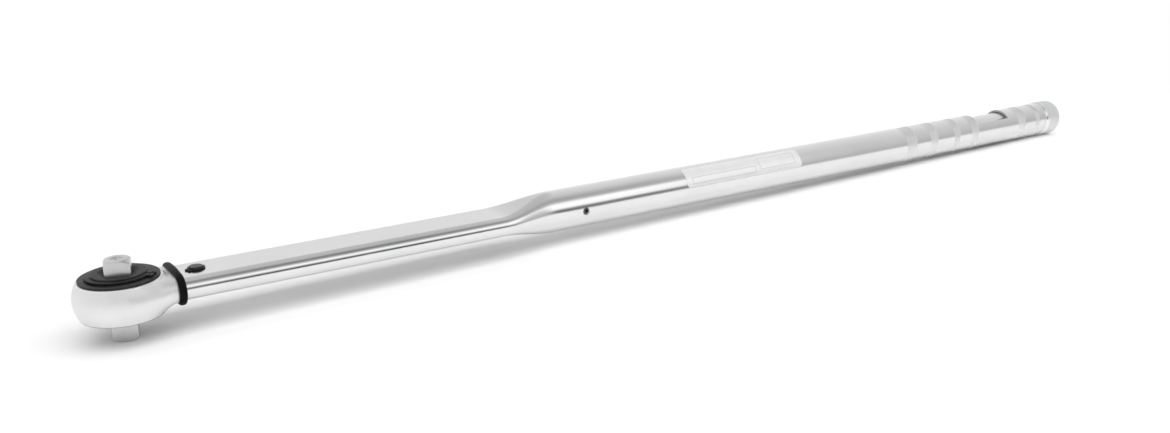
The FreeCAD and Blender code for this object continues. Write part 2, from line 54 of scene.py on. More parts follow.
# ---- sizes --------------------------------------------------------------------------------
tube_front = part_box("housing_tube")[0].x / MM
tube_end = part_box("housing_tube")[1].x / MM
tube_r = 19.5
tube_wall = 2.5
pressed_half_height = 8.85
press_start = 321.0
press_end = 381.0
window_ends = (963.5, 1018.0)
window_floor = 12.4
grip_bands = ((840.7, 857.1), (879.4, 892.0), (919.4, 929.8), (950.0, 962.5),
              (1035.0, 1048.3), (1067.5, 1075.2))
band_depth = 0.4
stop_screw_x = 409.6
stop_screw_r = 3.0

head_top = 12.8
head_bottom = -16.2
head_widest = 35.2
head_widest_z = -1.6
head_rim_r = 31.6            # where the rounded side meets the upper rim
head_foot_r = 31.4           # and the lower one
head_rim = 0.8
gear_bore_r = 24.3
gear_bore_floor = -9.3
journal_bore_r = 18.05

cover_r = 29.8
cover_bore = 20.45
cover_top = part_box("cover_plate")[1].z / MM

square_half = 19.05 / 2
square_corner_r = 13.2
square_end_r = 8.8
square_cone = 2.8
square_yaw = math.radians(-14.5)
square_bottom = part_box("drive_square")[0].z / MM
square_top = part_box("drive_square")[1].z / MM
ball_from_end = 9.3
ball_r = 2.5

neck_ring_half = (12.6, 16.2)    # half height, half flat
neck_ring_crown = 1.4
neck_ring_roundness = 2.4

pivot_x = 57.0
pivot_r = 5.5
pivot_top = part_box("pivot_pin")[1].z / MM

label_ends = (529.0, 680.0)
label_angles = (10.0, 74.0)
cap_r = 20.2
cap_inner_r = 16.9           # the part of the ring and cap that fits in the tube
cap_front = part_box("end_ring")[1].x / MM
wrench_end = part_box("end_cap")[1].x / MM
key_hole_r = 6.5


# ---- working in edit mode -----------------------------------------------------------------
def deselect():
    bpy.ops.object.select_all(action="DESELECT")


def edit(piece):
    deselect()
    piece.select_set(True)
    bpy.context.view_layer.objects.active = piece
    bpy.ops.object.mode_set(mode="EDIT")


def leave():
    bpy.ops.object.mode_set(mode="OBJECT")


def pick(kind, test):
    """Selects the vertices, edges or faces that pass the test, and nothing else."""
    bpy.ops.mesh.select_mode(type=kind)
    bpy.ops.mesh.select_all(action="DESELECT")
    shape = bmesh.from_edit_mesh(bpy.context.object.data)
    for item in {"VERT": shape.verts, "EDGE": shape.edges, "FACE": shape.faces}[kind]:
        item.select_set(bool(test(item)))
    bmesh.update_edit_mesh(bpy.context.object.data)


def close_up(distance=0.002):
    """Merges doubles and turns every face outwards."""
    bpy.ops.mesh.select_all(action="SELECT")
    bpy.ops.mesh.remove_doubles(threshold=distance * MM)
    bpy.ops.mesh.select_all(action="SELECT")
    bpy.ops.mesh.normals_make_consistent(inside=False)


def settle(piece, name):
    """Names the piece and moves its place into its mesh."""
    piece.name = name
    piece.data.name = name
    deselect()
    piece.select_set(True)
    bpy.context.view_layer.objects.active = piece
    bpy.ops.object.transform_apply(location=True, rotation=True, scale=True)
    return piece


def apply_modifier(piece, kind, **settings):
    deselect()
    piece.select_set(True)
    bpy.context.view_layer.objects.active = piece
    modifier = piece.modifiers.new(kind.title(), kind)
    for key, value in settings.items():
        setattr(modifier, key, value)
    bpy.ops.object.modifier_apply(modifier=modifier.name)
    return piece


def combine(piece, tool, operation):
    """Cuts, joins or keeps the overlap with a second solid, which is then removed."""
    apply_modifier(piece, "BOOLEAN", object=tool, operation=operation, solver="EXACT")
    bpy.data.objects.remove(tool)
    return piece


def soften(piece, width, segments=2, angle=32):
    return apply_modifier(piece, "BEVEL", width=width * MM, segments=segments,
                          limit_method="ANGLE", angle_limit=math.radians(angle),
                          harden_normals=False, use_clamp_overlap=True)


def smooth(piece, angle=34):
    deselect()
    piece.select_set(True)
    bpy.context.view_layer.objects.active = piece
    bpy.ops.object.shade_smooth_by_angle(angle=math.radians(angle))
    return piece


def dress(piece, body, slot, material, *nodes):
    """Gives a finished piece its material and its body, and hides the CAD nodes that it stands for."""
    if not piece.data.materials:
        piece.data.materials.append(material)
    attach(piece, body)
    if nodes:
        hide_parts(*nodes)
    return piece


# ---- shapes that several pieces share -----------------------------------------------------
def lathe(name, profile, axis="Z", steps=144, closed=False):
    """A turned piece: a point drawn out along (radius, height) and spun round the axis."""
    def at(radius, height):
        return Vector((radius, 0, height) if axis == "Z" else (height, 0, radius)) * MM

    deselect()
    bpy.ops.mesh.primitive_plane_add(size=MM)
    piece = bpy.context.object
    edit(piece)
    pick("VERT", lambda v: v.index > 0)
    bpy.ops.mesh.delete(type="VERT")
    shape = bmesh.from_edit_mesh(piece.data)
    shape.verts.ensure_lookup_table()
    shape.verts[0].co = at(*profile[0])
    shape.verts[0].select_set(True)
    bmesh.update_edit_mesh(piece.data)
    points = list(profile) + ([profile[0]] if closed else [])
    for here, there in zip(points, points[1:]):
        step = at(*there) - at(*here)
        bpy.ops.mesh.extrude_region_move(TRANSFORM_OT_translate={"value": step})
    bpy.ops.mesh.select_all(action="SELECT")
    line = (0, 0, 1) if axis == "Z" else (1, 0, 0)
    bpy.ops.mesh.spin(steps=steps, angle=math.tau, center=(0, 0, 0), axis=line)
    close_up(0.001)
    leave()
    return settle(piece, name)


def rounded_corner(corner, before, after, radius, steps=4):
    """Points of a rounded corner of a profile, between its two neighbours."""
    c, a, b = Vector(corner), Vector(before), Vector(after)
    into, out = (a - c).normalized(), (b - c).normalized()
    half = into.angle(out) / 2
    reach = radius / math.tan(half)
    start, end = c + into * reach, c + out * reach
    points = []
    for k in range(steps + 1):
        t = k / steps
        points.append(tuple(start * (1 - t) ** 2 + c * 2 * t * (1 - t) + end * t ** 2))
    return points


def rounded_profile(corners, closed=False):
    """A profile from (radius, height, rounding) corners."""
    points = []
    count = len(corners)
    for k, (r, h, rounding) in enumerate(corners):
        if rounding and (closed or 0 < k < count - 1):
            before, after = corners[k - 1][:2], corners[(k + 1) % count][:2]
            points += rounded_corner((r, h), before, after, rounding)
        else:
            points.append((r, h))
    return points


def girth_place(share, half_height, half_flat):
    """(y, z) at this share of the girth of a flat oval, from the near side's middle upwards."""
    quarter = half_height * math.pi / 2
    walk = share * (4 * quarter + 4 * half_flat)
    if walk < quarter:
        a = walk / half_height
        return -half_flat - half_height * math.cos(a), half_height * math.sin(a)
    walk -= quarter
    if walk < 2 * half_flat:
        return walk - half_flat, half_height
    walk -= 2 * half_flat
    if walk < 2 * quarter:
        a = walk / half_height
        return half_flat + half_height * math.sin(a), half_height * math.cos(a)
    walk -= 2 * quarter
    if walk < 2 * half_flat:
        return half_flat - walk, -half_height
    walk -= 2 * half_flat
    a = walk / half_height
    return -half_flat - half_height * math.sin(a), -half_height * math.cos(a)


def oval_skin(name, sections, around=160):
    """A skin through flat ovals of (x, half height, half flat, inset), drawn out from a circle."""
    deselect()
    first = sections[0][0]
    bpy.ops.mesh.primitive_circle_add(vertices=around, radius=tube_r * MM, location=(first * MM, 0, 0),
                                      rotation=(0, math.pi / 2, 0))
    piece = settle(bpy.context.object, name)
    edit(piece)
    bpy.ops.mesh.select_all(action="SELECT")
    for here, there in zip(sections, sections[1:]):
        step = max(abs(there[0] - here[0]), 0.001) * MM
        bpy.ops.mesh.extrude_region_move(TRANSFORM_OT_translate={"value": (step, 0, 0)})
    leave()
    for index, vertex in enumerate(piece.data.vertices):
        x, half_height, half_flat, inset = sections[index // around]
        y, z = girth_place(index % around / around, half_height, half_flat)
        length = math.hypot(max(abs(y) - half_flat, 0), z)
        pull = 1 - inset / max(length, 0.01)
        edge = math.copysign(min(abs(y), half_flat), y)
        vertex.co = Vector((x, edge + (y - edge) * pull, z * pull)) * MM
    return piece


def smooth_copy(node, name, bevel=0.0, angle=34):
    """The CAD node's own form, merged and smoothed."""
    piece = frame["nodes"][node].copy()
    piece.data = frame["nodes"][node].data.copy()
    for key in list(piece.keys()):
        del piece[key]
    piece.parent = None
    piece.data.materials.clear()
    bpy.context.scene.collection.objects.link(piece)
    piece.hide_render = False
    piece.hide_viewport = False
    edit(piece)
    bpy.ops.mesh.select_all(action="SELECT")
    bpy.ops.mesh.remove_doubles(threshold=0.002 * MM)
    bpy.ops.mesh.select_all(action="SELECT")
    bpy.ops.mesh.dissolve_limited(angle_limit=math.radians(0.5))
    leave()
    piece.name = name
    piece.data.name = name
    if bevel:
        soften(piece, bevel)
    return smooth(piece, angle)


def cylinder(radius, depth, place, direction=(0, 0, 1), vertices=96, far_radius=None):
    """A plain round or tapered solid, as a tool for cutting."""
    deselect()
    far = radius if far_radius is None else far_radius
    bpy.ops.mesh.primitive_cone_add(vertices=vertices, radius1=radius * MM, radius2=far * MM,
                                    depth=depth * MM)
    piece = bpy.context.object
    turn = Vector((0, 0, 1)).rotation_difference(Vector(direction))
    piece.matrix_world = Matrix.Translation(Vector(place) * MM) @ turn.to_matrix().to_4x4()
    return settle(piece, "tool")


def block(low, high, turn=0.0):
    deselect()
    bpy.ops.mesh.primitive_cube_add(size=1)
    piece = bpy.context.object
    low, high = Vector(low) * MM, Vector(high) * MM
    piece.scale = high - low
    piece.location = (low + high) / 2
    piece = settle(piece, "tool")
    piece.rotation_euler.z = turn
    return settle(piece, "tool")


def polar(radius, angle, z=0.0):
    return radius * math.cos(angle), radius * math.sin(angle), z


# ---- shader nodes -------------------------------------------------------------------------
def reckon(nodes, links, operation, one, two):
    """What an operation makes of two values, each a socket or a number."""
    node = nodes.new("ShaderNodeMath")
    node.operation = operation
    for socket, value in zip(node.inputs, (one, two)):
        if isinstance(value, (int, float)):
            socket.default_value = value
        else:
            links.new(value, socket)
    return node.outputs[0]


def remap(nodes, links, value, start, end, low=0.0, high=1.0, ease="LINEAR"):
    """Maps a value from start to end onto low to high."""
    node = nodes.new("ShaderNodeMapRange")
    node.interpolation_type = ease
    for key, number in (("From Min", start), ("From Max", end), ("To Min", low), ("To Max", high)):
        node.inputs[key].default_value = number
    links.new(value, node.inputs["Value"])
    return node.outputs["Result"]


def blend(nodes, links, factor, one, two):
    """Mixes two colours, each a socket or a value."""
    node = nodes.new("ShaderNodeMix")
    node.data_type = "RGBA"
    links.new(factor, node.inputs["Factor"])
    for key, value in (("A", one), ("B", two)):
        if isinstance(value, tuple):
            node.inputs[key].default_value = value
        else:
            links.new(value, node.inputs[key])
    return node.outputs["Result"]


def ramp(nodes, stops):
    """A colour ramp of (position, colour) stops."""
    node = nodes.new("ShaderNodeValToRGB")
    elements = node.color_ramp.elements
    while len(elements) < len(stops):
        elements.new(0.5)
    for element, (position, colour) in zip(elements, stops):
        element.position = position
        element.color = (*colour, 1)
    return node


def looked_at(nodes, links, *kinds):
    """1 for a ray of any of these kinds."""
    path = nodes.new("ShaderNodeLightPath")
    value = path.outputs[kinds[0]]
    for kind in kinds[1:]:
        value = reckon(nodes, links, "MAXIMUM", value, path.outputs[kind])
    return value


def grey(value):
    return value, value, value


# ---- materials ----------------------------------------------------------------------------
class Finish:
    """A material being built from nodes, on the object's own coordinates."""

    def __init__(self, name, colour, roughness, metallic=1.0, **settings):
        self.material = bpy.data.materials.new(name)
        self.material.use_nodes = True
        self.nodes = self.material.node_tree.nodes
        self.links = self.material.node_tree.links
        self.shader = self.nodes["Principled BSDF"]
        self.shader.inputs["Base Color"].default_value = (*colour, 1)
        self.shader.inputs["Roughness"].default_value = roughness
        self.shader.inputs["Metallic"].default_value = metallic
        for key, value in settings.items():
            socket = key.replace("_", " ").title().replace("Ior", "IOR")
            self.shader.inputs[socket].default_value = value
        self.place = self.nodes.new("ShaderNodeTexCoord").outputs["Object"]

    def stretched(self, scale, centre=(0, 0, 0)):
        mapping = self.nodes.new("ShaderNodeMapping")
        mapping.inputs["Scale"].default_value = scale
        mapping.inputs["Location"].default_value = centre
        self.links.new(self.place, mapping.inputs["Vector"])
        return mapping.outputs["Vector"]

    def grain(self, scale, detail=4.0, roughness=0.6, stretch=(1, 1, 1)):
        texture = self.nodes.new("ShaderNodeTexNoise")
        texture.inputs["Scale"].default_value = scale
        texture.inputs["Detail"].default_value = detail
        texture.inputs["Roughness"].default_value = roughness
        self.links.new(self.stretched(stretch), texture.inputs["Vector"])
        return texture.outputs["Fac"]

    def rings(self, axis, scale, distortion=1.0):
        """Fine turning marks round the X or Z axis."""
        split = self.nodes.new("ShaderNodeSeparateXYZ")
        self.links.new(self.place, split.inputs[0])
        radius = self.nodes.new("ShaderNodeVectorMath")
        radius.operation = "LENGTH"
        join = self.nodes.new("ShaderNodeCombineXYZ")
        for k, letter in enumerate("XYZ"):
            if letter != axis:
                self.links.new(split.outputs[letter], join.inputs[k])
        self.links.new(join.outputs[0], radius.inputs[0])
        texture = self.nodes.new("ShaderNodeTexNoise")
        texture.noise_dimensions = "2D"
        texture.inputs["Scale"].default_value = scale
        texture.inputs["Detail"].default_value = 3.0
        texture.inputs["Distortion"].default_value = distortion * 0.01
        pair = self.nodes.new("ShaderNodeCombineXYZ")
        self.links.new(radius.outputs["Value"], pair.inputs[0])
        self.links.new(split.outputs[axis], pair.inputs[1])
        self.links.new(pair.outputs[0], texture.inputs["Vector"])
        return texture.outputs["Fac"]

    def spread(self, value, low, high, start=0.3, end=0.7):
        return remap(self.nodes, self.links, value, start, end, low, high)

    def tint(self, value, one, two, start=0.3, end=0.7):
        """Blends the base colour from one to two by a value."""
        colours = ramp(self.nodes, ((start, one), (end, two)))
        self.links.new(value, colours.inputs["Fac"])
        self.links.new(colours.outputs["Color"], self.shader.inputs["Base Color"])
        return self

    def rough(self, value):
        self.links.new(value, self.shader.inputs["Roughness"])
        return self

    def bump(self, value, depth, strength=1.0):
        """Relief of about this depth in millimetres."""
        node = self.nodes.new("ShaderNodeBump")
        node.inputs["Distance"].default_value = depth * MM
        node.inputs["Strength"].default_value = strength
        self.links.new(value, node.inputs["Height"])
        previous = self.shader.inputs["Normal"].links
        if previous:
            self.links.new(previous[0].from_socket, node.inputs["Normal"])
        self.links.new(node.outputs["Normal"], self.shader.inputs["Normal"])
        return self


def drawn_steel():
    """Satin-chromed tube, with the faint lengthwise lines of drawing and polishing."""
    f = Finish("drawn_steel", grey(0.75), 0.15)
    lines = f.grain(900, stretch=(0.012, 1, 1))
    cloud = f.grain(22, detail=3)
    f.tint(cloud, (0.73, 0.735, 0.735), (0.77, 0.77, 0.765))
    f.rough(f.spread(lines, 0.12, 0.19))
    f.bump(lines, 0.012, 0.5)
    return f.material


def raw_bore_and_painted_shade():
    """The tube's inside, which is only oiled. Its dark grey is also put on the window's cut end walls, as
    raw cut steel darkened into painted shade, and on the head's foot edge as a painted dark line of shade.
    """
    f = Finish("raw_bore_and_painted_shade", grey(0.38), 0.45)
    f.tint(f.grain(60, stretch=(0.1, 1, 1)), grey(0.3), grey(0.46))
    f.rough(f.spread(f.grain(140), 0.35, 0.55))
    return f.material


def matt_band():
    """The grip bands, blasted matt in the turned grooves."""
    f = Finish("matt_band", grey(0.8), 0.5)
    speck = f.grain(2600, detail=2)
    f.tint(f.grain(40), grey(0.74), grey(0.82))
    f.rough(f.spread(speck, 0.42, 0.56))
    f.bump(speck, 0.03, 0.6)
    return f.material


def satin_forging():
    """The head's satin chrome over a smoothed forging."""
    f = Finish("satin_forging", grey(0.8), 0.4)
    fine = f.grain(1500, detail=3)
    cloud = f.grain(30, detail=4)
    f.tint(cloud, (0.765, 0.77, 0.77), (0.825, 0.825, 0.82))
    f.rough(f.spread(cloud, 0.38, 0.46))
    f.bump(fine, 0.01, 0.35)
    f.bump(f.grain(90, detail=2), 0.05, 0.25)
    return f.material


def black_oxide(name="black_oxide", roughness=(0.34, 0.5), depth=0.03, shine=0.12):
    """Oiled black oxide on turned steel, worn a little paler on its high spots."""
    f = Finish(name, grey(0.015), 0.42, metallic=0.0, specular_ior_level=shine)
    cloud = f.grain(120, detail=5)
    f.tint(cloud, grey(0.008), grey(0.022))
    f.rough(f.spread(cloud, *roughness))
    f.bump(f.rings("Z", 2400), depth, 0.35)
    f.bump(f.grain(2200, detail=2), 0.02, 0.3)
    return f.material


def rubber():
    f = Finish("rubber", grey(0.004), 0.45, metallic=0.0, specular_ior_level=0.05)
    fine = f.grain(1800, detail=3)
    f.tint(f.grain(160), grey(0.003), grey(0.006))
    f.rough(f.spread(f.grain(260), 0.32, 0.48))
    f.bump(fine, 0.05, 0.4)
    return f.material


def ground_chrome():
    """The drive square: ground lengthwise, and left bare."""
    f = Finish("ground_chrome", grey(0.6), 0.26)
    lines = f.grain(1600, stretch=(1, 1, 0.05))
    f.tint(f.grain(70), grey(0.55), grey(0.64))
    f.rough(f.spread(lines, 0.27, 0.33))
    f.bump(lines, 0.006, 0.12)
    return f.material


def turned_bright(name="turned_bright", colour=0.84, axis="X", roughness=(0.14, 0.26)):
    """Bright turned metal with fine marks round its axis."""
    f = Finish(name, grey(colour), 0.2)
    marks = f.rings(axis, 3200)
    f.tint(f.grain(60), grey(colour * 0.94), grey(colour))
    f.rough(f.spread(marks, *roughness))
    f.bump(marks, 0.015, 0.5)
    return f.material


def blasted_grey():
    """The end cap's fine blasted aluminium."""
    f = Finish("blasted_grey", grey(0.72), 0.5, metallic=0.9)
    speck = f.grain(2400, detail=3)
    f.tint(f.grain(70), (0.68, 0.69, 0.69), (0.76, 0.77, 0.77))
    f.rough(f.spread(speck, 0.42, 0.58))
    f.bump(speck, 0.045, 0.7)
    return f.material


def foil():
    """The matt film of the bare label."""
    f = Finish("foil", grey(0.82), 0.42, metallic=0.7)
    cloud = f.grain(45, detail=3)
    f.tint(cloud, grey(0.79), grey(0.85))
    f.rough(f.spread(cloud, 0.36, 0.46))
    f.bump(f.grain(260, detail=2), 0.02, 0.4)
    return f.material


def foil_print():
    """Pale grey ink of the label's empty frames."""
    f = Finish("foil_print", grey(0.5), 0.5, metallic=0.3)
    f.tint(f.grain(1400), grey(0.42), grey(0.56))
    return f.material


def dark_plated():
    f = Finish("dark_plated", grey(0.1), 0.35, metallic=0.9)
    f.tint(f.grain(300), grey(0.07), grey(0.16))
    f.rough(f.spread(f.grain(500), 0.28, 0.42))
    return f.material


def hard_steel():
    f = Finish("hard_steel", grey(0.55), 0.28)
    lines = f.grain(1200, stretch=(1, 0.1, 1))
    f.tint(f.grain(80), (0.5, 0.51, 0.53), (0.6, 0.61, 0.62))
    f.rough(f.spread(lines, 0.2, 0.34))
    f.bump(lines, 0.01, 0.4)
    return f.material


def spring_steel():
    f = Finish("spring_steel", grey(0.32), 0.4)
    cloud = f.grain(240, detail=5)
    f.tint(cloud, (0.25, 0.26, 0.28), (0.38, 0.39, 0.41))
    f.rough(f.spread(cloud, 0.32, 0.5))
    f.bump(f.grain(1500), 0.02, 0.4)
    return f.material


def bronze():
    f = Finish("bronze", (0.72, 0.52, 0.3), 0.3)
    f.tint(f.grain(110, detail=5), (0.62, 0.42, 0.22), (0.78, 0.58, 0.34))
    f.rough(f.spread(f.grain(300), 0.24, 0.4))
    f.bump(f.rings("X", 2600), 0.02, 0.4)
    return f.material


materials = {
    "satin_tube": drawn_steel(),
    "satin_chrome": satin_forging(),
    "black_rubber": rubber(),
    "black_steel": black_oxide(),
    "black_cover": black_oxide("cover_oxide", (0.4, 0.55), 0.05, 0.28),
    "dark_screw": dark_plated(),
    "silver_foil": foil(),
    "bright_square": ground_chrome(),
    "hard_steel": hard_steel(),
    "spring_steel": spring_steel(),
    "bronze": bronze(),
    "satin_sleeve": turned_bright("satin_sleeve", 0.82, "X", (0.2, 0.3)),
    "bright_ring": turned_bright(),
    "grey_cap": blasted_grey(),
}
bore_and_painted_shade = raw_bore_and_painted_shade()
band_finish = matt_band()
print_finish = foil_print()
pin_finish = black_oxide("pin_oxide", (0.3, 0.45), 0.03, 0.55)


def finish_cad_nodes():
    """Every CAD node takes the material of its slot."""
    for part in frame["record"]["subparts"]:
        shape = frame["nodes"][part["node"]].data
        shape.materials.clear()
        shape.materials.append(materials[part["material_slot"]])


# ---- the tube -----------------------------------------------------------------------------
def tube_section(x, inset=0.0):
    """The girth stays the same all along, so the flats take what the height gives up."""
    t = min(max((x - press_start) / (press_end - press_start), 0.0), 1.0)
    height = pressed_half_height + t * t * (3 - 2 * t) * (tube_r - pressed_half_height)
    return x, height, (tube_r - height) * math.pi / 2, inset


def tube_stations():
    sections = [tube_section(tube_front, 0.5), tube_section(tube_front + 0.4)]
    sections += [tube_section(x) for x in (90.0, 150.0, 210.0, 270.0, 315.0)]
    steps = 44
    for k in range(steps + 1):
        sections.append(tube_section(press_start + (press_end - press_start) * k / steps))
    sections += [tube_section(x) for x in (430.0, 480.0, 529.0, 600.0, 680.0, 760.0)]
    for start, end in grip_bands:
        sections += [tube_section(start - 0.05), tube_section(start + 0.1, band_depth),
                     tube_section(end - 0.9, band_depth), tube_section(end)]
    sections += [tube_section(x) for x in (963.0, 990.0, 1018.5)]
    sections += [tube_section(tube_end - 0.3), tube_section(tube_end, 0.3)]
    return sorted(sections)


def is_band(x):
    return any(start < x < end for start, end in grip_bands)


def housing_tube():
    piece = oval_skin("housing_tube_skin", tube_stations())
    edit(piece)
    bpy.ops.mesh.select_all(action="SELECT")
    bpy.ops.mesh.normals_make_consistent(inside=False)
    leave()
    for material in (materials["satin_tube"], bore_and_painted_shade, band_finish):
        piece.data.materials.append(material)
    apply_modifier(piece, "SOLIDIFY", thickness=tube_wall * MM, offset=-1,
                   use_even_offset=True, material_offset=1, material_offset_rim=0)
    combine(piece, block((window_ends[0], -30, window_floor), (window_ends[1], 30, 30)), "DIFFERENCE")
    combine(piece, cylinder(stop_screw_r, 14, (stop_screw_x, -19, 0), (0, 1, 0), 48), "DIFFERENCE")
    sink = cylinder(stop_screw_r + 2.1, 2.8, (stop_screw_x, -tube_r + 0.5, 0), (0, 1, 0), 48,
                    stop_screw_r - 0.7)
    combine(piece, sink, "DIFFERENCE")
    combine(piece, cylinder(pivot_r + 0.02, 40, (pivot_x, 0, 0)), "DIFFERENCE")
    for face in piece.data.polygons:
        reach = math.hypot(face.center.y, face.center.z) / MM
        if is_band(face.center.x / MM) and reach > tube_r - band_depth - 0.1:
            if abs(face.normal.x) < 0.3:
                face.material_index = 2
        # The window's cut end walls take the darker bore finish: raw cut steel, made darker as painted shade
        # inside the window.
        if abs(face.normal.x) > 0.9 and window_ends[0] - 1 < face.center.x / MM < window_ends[1] + 1:
            face.material_index = 1
    smooth(piece, 14)
    return dress(piece, "housing", "satin_tube", materials["satin_tube"], "housing_tube")


def neck_ring():
    """A moulded ring with a rounded, slightly crowned back, gripping the tube and the head's neck."""
    start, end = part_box("neck_ring")[0].x / MM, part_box("neck_ring")[1].x / MM
    half_height, half_flat = neck_ring_half
    roundness, inner, steps = neck_ring_roundness, 2.2, 6
    outer = []
    for k in range(steps + 1):
        a = math.pi / 2 * k / steps
        outer.append((start + roundness * (1 - math.cos(a)), roundness * (1 - math.sin(a))))
    for k in range(steps + 1):
        a = math.pi / 2 * k / steps
        outer.append((end - roundness * (1 - math.sin(a)), roundness * (1 - math.cos(a))))
    sections = [(start + 0.4, inner + 0.9), (start, inner + 0.4)] + outer
    sections += [(end, inner + 0.8), (end - 0.3, inner + 1.1)]
    around = 160
    piece = oval_skin("neck_ring_rubber", [(x, half_height, half_flat, i) for x, i in sections], around)
    drop = (half_flat ** 2 - neck_ring_crown ** 2) / (2 * neck_ring_crown)
    slant = math.hypot(half_flat, drop)
    crown_r, crown_end = half_height + slant, half_flat * (1 + half_height / slant)
    for index, vertex in enumerate(piece.data.vertices):
        y, z = vertex.co.y / MM, vertex.co.z / MM
        inset = sections[index // around][1]
        past = max(abs(y) - half_flat, 0)
        plain = math.sqrt(max(half_height ** 2 - past ** 2, 0))
        if abs(y) < crown_end:
            lift = max(math.sqrt(crown_r ** 2 - y * y) - drop - plain, 0)
            lift *= max(1 - inset / (inner + 0.9), 0)
            vertex.co.z = math.copysign(abs(z) + lift, z) * MM
    edit(piece)
    pick("EDGE", lambda e: e.is_boundary)
    bpy.ops.mesh.bridge_edge_loops()
    close_up()
    leave()
    smooth(piece, 50)
    return dress(piece, "housing", "black_rubber", materials["black_rubber"], "neck_ring")


def pivot():
    reach = pivot_top
    profile = rounded_profile([(0, -reach, 0), (pivot_r, -reach, 0.7), (pivot_r, reach, 0.7), (0, reach, 0)])
    pin = lathe("pivot_pin_turned", profile, steps=72)
    low, high = pressed_half_height + 0.05, pressed_half_height + 1.25
    for start in (low, -high):
        groove = lathe("tool", [(pivot_r - 0.5, start), (pivot_r + 1, start), (pivot_r + 1, start + 1.2),
                                (pivot_r - 0.5, start + 1.2)], steps=72, closed=True)
        combine(pin, groove, "DIFFERENCE")
    edit(pin)
    bpy.ops.mesh.select_all(action="SELECT")
    bpy.ops.transform.translate(value=(pivot_x * MM, 0, 0))
    leave()
    smooth(pin, 40)
    dress(pin, "housing", "black_steel", pin_finish, "pivot_pin")
    clips = smooth_copy("pivot_circlips", "pivot_circlips_pressed", 0.12)
    dress(clips, "housing", "black_steel", materials["black_steel"], "pivot_circlips")


def stop_screw():
    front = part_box("stop_screw")[0].y / MM
    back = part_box("stop_screw")[1].y / MM
    screw_r, length = stop_screw_r - 0.06, back - front
    profile = rounded_profile([(0, 0, 0), (screw_r, 0, 0.4), (screw_r, length, 0.2), (0, length, 0)])
    screw = lathe("stop_screw_turned", profile, steps=48)
    hexagon = cylinder(1.75, 6, (0, 0, 0), (0, 0, 1), 6)
    combine(screw, hexagon, "DIFFERENCE")
    screw.rotation_euler.x = -math.pi / 2
    screw.location = Vector((stop_screw_x, front, 0)) * MM
    settle(screw, "stop_screw_turned")
    smooth(screw, 34)
    return dress(screw, "housing", "dark_screw", materials["dark_screw"], "stop_screw")


# ---- the head -----------------------------------------------------------------------------
neck_stations = ((9.6, 14.1, 33.7, -1.7), (16.0, 14.0, 31.9, -1.7), (22.0, 13.6, 30.0, -1.6),
                 (27.5, 12.4, 28.2, -1.1), (32.0, 10.7, 26.8, -0.4), (38.1, 9.7, 25.5, 0.0))
neck_blend = 3.0             # how softly the neck runs into the barrel


def side_arc():
    """The circle through the head's foot, its widest ring and its rim: (radius, height, r)."""
    (ax, ay), (bx, by), (cx, cy) = ((head_foot_r, head_bottom + head_rim),
                                    (head_widest, head_widest_z), (head_rim_r, head_top - head_rim))
    d = 2 * (ax * (by - cy) + bx * (cy - ay) + cx * (ay - by))
    a, b, c = ax * ax + ay * ay, bx * bx + by * by, cx * cx + cy * cy
    x = (a * (by - cy) + b * (cy - ay) + c * (ay - by)) / d
    y = (a * (cx - bx) + b * (ax - cx) + c * (bx - ax)) / d
    return x, y, math.hypot(bx - x, by - y)


arc_x, arc_z, arc_r = side_arc()


def neck_at(x):
    """The neck's half height, half width and centre height, eased between its stations."""
    x = min(max(x, neck_stations[0][0]), neck_stations[-1][0])
    k = 0
    while k < len(neck_stations) - 2 and neck_stations[k + 1][0] < x:
        k += 1
    before = neck_stations[max(k - 1, 0)]
    here, there = neck_stations[k], neck_stations[k + 1]
    after = neck_stations[min(k + 2, len(neck_stations) - 1)]
    span = there[0] - here[0]
    t = (x - here[0]) / span
    out = []
    for n in (1, 2, 3):
        rise_here = (there[n] - before[n]) / max(there[0] - before[0], 0.01) * span
        rise_there = (after[n] - here[n]) / max(after[0] - here[0], 0.01) * span
        out.append((2 * t ** 3 - 3 * t ** 2 + 1) * here[n] + (t ** 3 - 2 * t ** 2 + t) * rise_here
                   + (3 * t ** 2 - 2 * t ** 3) * there[n] + (t ** 3 - t ** 2) * rise_there)
    return out


def outside_head(point):
    """Below zero inside the barrel or the neck, with the two run softly together."""
    x, y, z = point
    lift = max(arc_r ** 2 - (z - arc_z) ** 2, 0.0)
    barrel = math.hypot(x, y) - (arc_x + math.sqrt(lift))
    half_height, half_width, centre = neck_at(x)
    side = max(abs(y) - (half_width - half_height), 0.0)
    neck = math.hypot(side, z - centre) - half_height
    neck = max(neck, x - neck_stations[-1][0] - 0.6, -x)
    gap = abs(barrel - neck)
    soft = max(neck_blend - gap, 0.0) ** 2 / (4 * neck_blend)
    return min(barrel, neck) - soft


def head_surface(angle, slope):
    """Where a ray from the head's middle leaves it."""
    way = Vector((math.cos(angle) * math.cos(slope), math.sin(angle) * math.cos(slope), math.sin(slope)))
    middle = Vector((0, 0, head_widest_z))
    low, high = 20.0, 60.0
    for _ in range(26):
        reach = (low + high) / 2
        if outside_head(middle + way * reach) < 0:
            low = reach
        else:
            high = reach
    return middle + way * low


